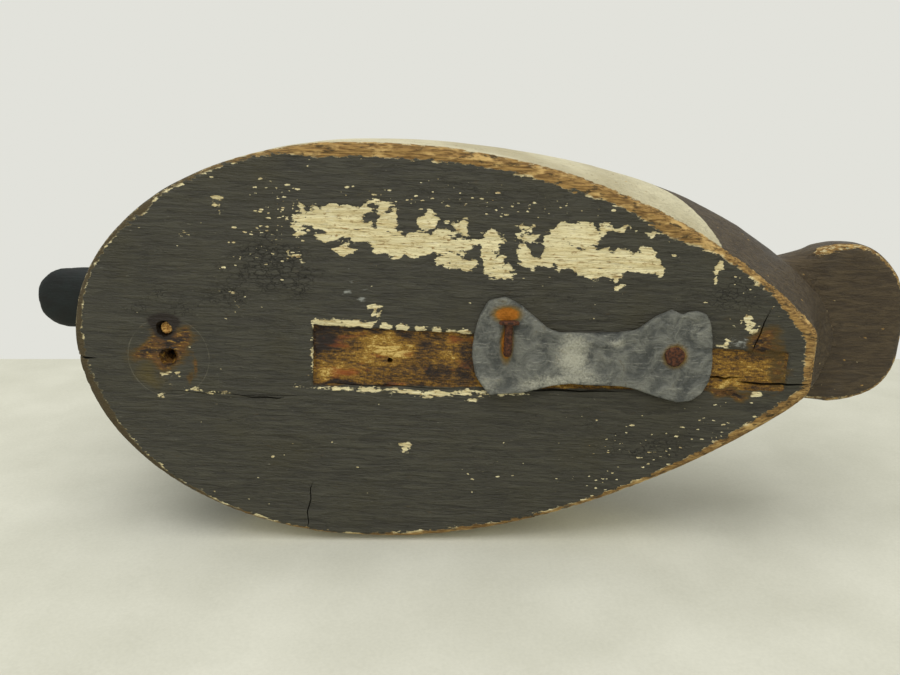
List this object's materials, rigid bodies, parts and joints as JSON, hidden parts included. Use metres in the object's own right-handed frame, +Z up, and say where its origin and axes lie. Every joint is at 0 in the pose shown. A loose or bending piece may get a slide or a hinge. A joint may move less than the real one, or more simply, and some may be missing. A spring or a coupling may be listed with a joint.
{
  "type": "floating duck decoy",
  "caption": "Carved wooden floating duck decoy, flat painted bottom with hammered lead ballast pad, paddle tail, separate head with glass eyes.",
  "frame": {"origin": "under the middle of the whole decoy, at the level of its lowest hardware, so it stands on its ballast", "axes": "-X towards the bill and +X towards the tail, -Y to the duck's left, +Z up through the head"},
  "size_m": [0.438, 0.174, 0.173],
  "materials": {
    "painted_body": "old oil paint over carved wood, worn through at the edges and flaking",
    "painted_head": "old near-black oil paint over carved wood, low sheen",
    "bare_wood": "dry bare wood",
    "rusty_iron": "rusted iron wire and nails",
    "eye_glass": "yellow glass with a black pupil",
    "sheet_lead": "dull hammered lead with white oxide"
  },
  "bodies": {
    "root": {"body": "painted_body", "head": "painted_head", "neck_dowel": "bare_wood", "neck_nails": "rusty_iron", "eye_left": "eye_glass", "eye_right": "eye_glass", "lead_weight": "sheet_lead", "weight_nail_front": "rusty_iron", "weight_nail_rear": "rusty_iron", "line_tie_stub": "bare_wood"}
  },
  "joints": []
}
